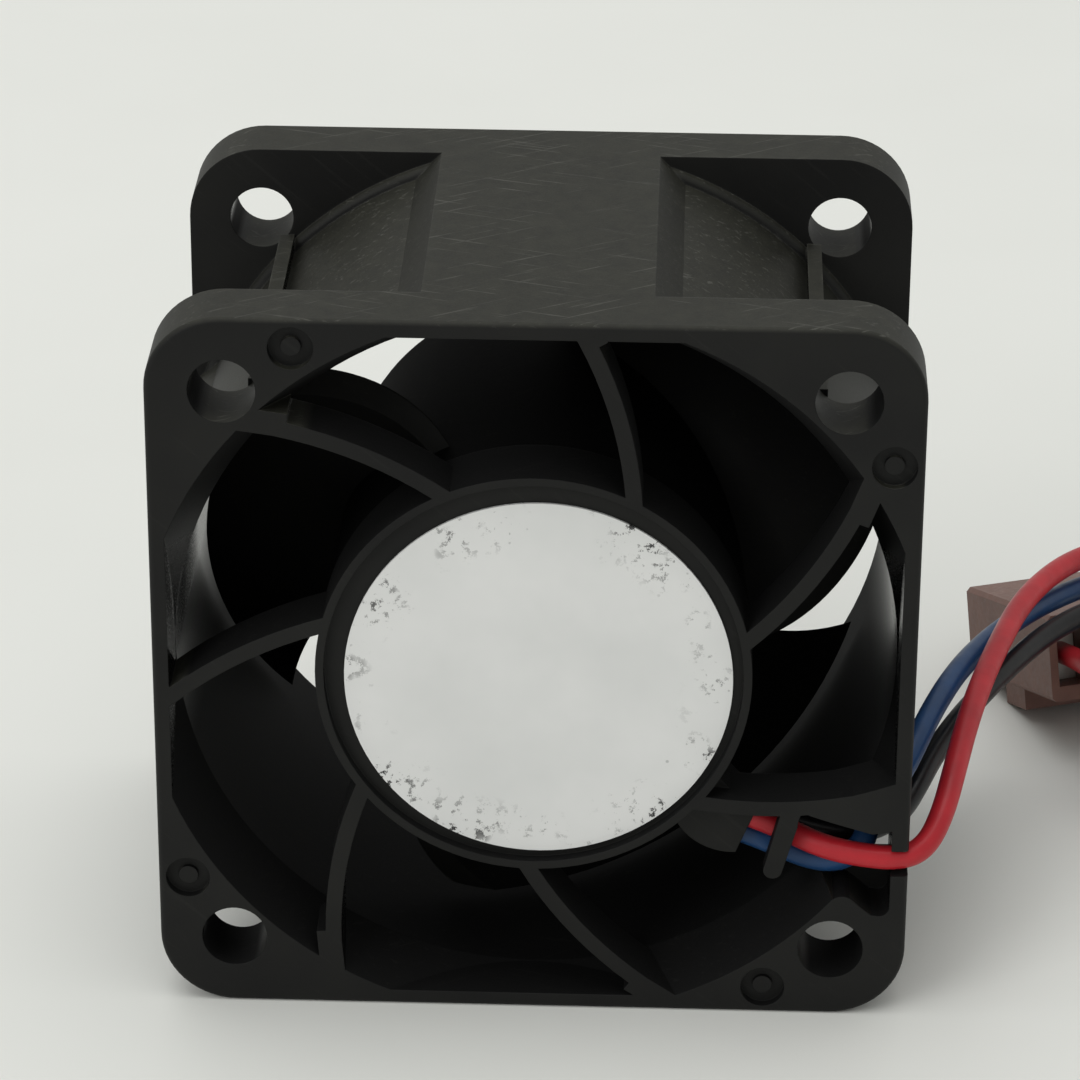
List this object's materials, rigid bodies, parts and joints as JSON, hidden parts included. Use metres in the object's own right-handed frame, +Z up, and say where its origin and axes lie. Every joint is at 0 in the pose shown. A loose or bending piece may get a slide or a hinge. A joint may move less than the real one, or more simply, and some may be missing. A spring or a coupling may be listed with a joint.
{
  "type": "dc cooling fan",
  "caption": "Small square axial cooling fan with a seven-vane outlet guard, a twisted-blade impeller on ball bearings and three short leads to a plug.",
  "frame": {"origin": "on the ground under the middle of the square body", "axes": "+Y along the fan axis from the outlet face with the guide vanes to the inlet face, +Z up, +X to the right seen from the outlet"},
  "size_m": [0.0688, 0.0452, 0.04],
  "materials": {
    "housing_plastic": "fine matt, scuffed",
    "impeller_plastic": "matt",
    "label": "smooth, worn",
    "brass": "turned",
    "bearing_steel": "ground",
    "cage_plastic": "moulded",
    "lamination_steel": "stacked sheets",
    "insulator_plastic": "moulded",
    "copper": "enamelled copper wire",
    "tinned_pin": "tinned",
    "board": "solder mask",
    "chip_plastic": "moulded",
    "capacitor_ceramic": "fired",
    "cup_steel": "zinc plated, drawn",
    "magnet": "bonded ferrite",
    "spring_steel": "drawn",
    "red_insulation": "smooth",
    "blue_insulation": "smooth",
    "black_insulation": "smooth",
    "plug_plastic": "moulded"
  },
  "bodies": {
    "base": {"housing": "housing_plastic", "label_disc": "label", "bearing_tube": "brass", "front_bearing_outer": "bearing_steel", "rear_bearing_outer": "bearing_steel", "stator_core": "lamination_steel", "front_insulator": "insulator_plastic", "rear_insulator": "insulator_plastic", "stator_windings": "copper", "winding_pins": "tinned_pin", "circuit_board": "board", "hall_sensor": "chip_plastic", "driver_chip": "chip_plastic", "capacitors": "capacitor_ceramic", "resistors": "chip_plastic", "red_wire": "red_insulation", "blue_wire": "blue_insulation", "black_wire": "black_insulation", "plug_housing": "plug_plastic", "plug_terminals": "tinned_pin"},
    "rotor": {"impeller": "impeller_plastic", "rotor_cup": "cup_steel", "ring_magnet": "magnet", "shaft_bushing": "brass", "shaft": "bearing_steel", "retaining_clip": "spring_steel", "shaft_washer": "bearing_steel", "preload_spring": "spring_steel", "front_bearing_inner": "bearing_steel", "rear_bearing_inner": "bearing_steel"},
    "front_balls": {"front_bearing_balls": "bearing_steel", "front_bearing_cage": "cage_plastic"},
    "rear_balls": {"rear_bearing_balls": "bearing_steel", "rear_bearing_cage": "cage_plastic"}
  },
  "joints": [
    {"name": "impeller_spin", "type": "hinge", "parent": "base", "child": "rotor", "pos_m": [0, 0, 0.02], "axis": [0, 1, 0], "continuous": true},
    {"name": "front_cage_turn", "type": "hinge", "parent": "base", "child": "front_balls", "pos_m": [0, 0, 0.02], "axis": [0, 1, 0], "continuous": true},
    {"name": "rear_cage_turn", "type": "hinge", "parent": "base", "child": "rear_balls", "pos_m": [0, 0, 0.02], "axis": [0, 1, 0], "continuous": true}
  ],
  "couplings": [
    {"joint": "front_cage_turn", "follows": "impeller_spin", "ratio": 0.4},
    {"joint": "rear_cage_turn", "follows": "impeller_spin", "ratio": 0.4}
  ]
}
